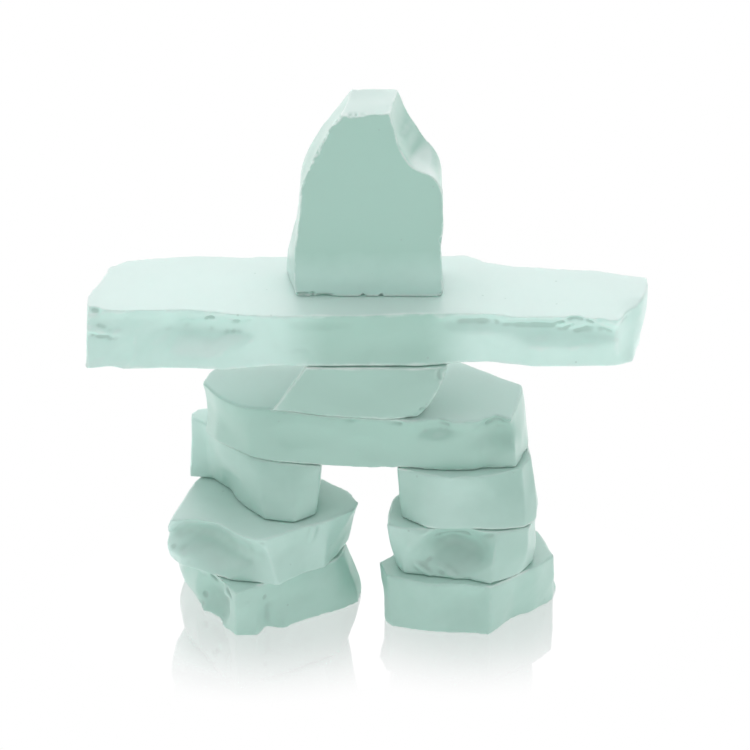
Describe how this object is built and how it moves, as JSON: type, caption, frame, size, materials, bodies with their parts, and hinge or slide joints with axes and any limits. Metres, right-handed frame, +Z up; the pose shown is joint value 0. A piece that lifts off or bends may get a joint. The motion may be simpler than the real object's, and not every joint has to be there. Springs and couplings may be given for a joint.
{
  "type": "inuksuk figurine",
  "caption": "Stone-man figurine of stacked, bonded chunks of frosted plate glass: two legs, hips, torso, one slab for both arms and an upright head.",
  "frame": {"origin": "on the ground, under the middle of the whole figure", "axes": "+Z up, -Y to the front, where the figure faces, +X to the viewer's right along the arms"},
  "size_m": [0.186, 0.0626, 0.1823],
  "materials": {
    "frosted_glass": "sandblasted all over to an even satin frost, pale sea green, lighter where it is thin"
  },
  "bodies": {
    "root": {"left_foot": "frosted_glass", "left_shin": "frosted_glass", "left_thigh": "frosted_glass", "right_foot": "frosted_glass", "right_shin": "frosted_glass", "right_thigh": "frosted_glass", "hips": "frosted_glass", "torso": "frosted_glass", "arms": "frosted_glass", "head": "frosted_glass"}
  },
  "joints": []
}
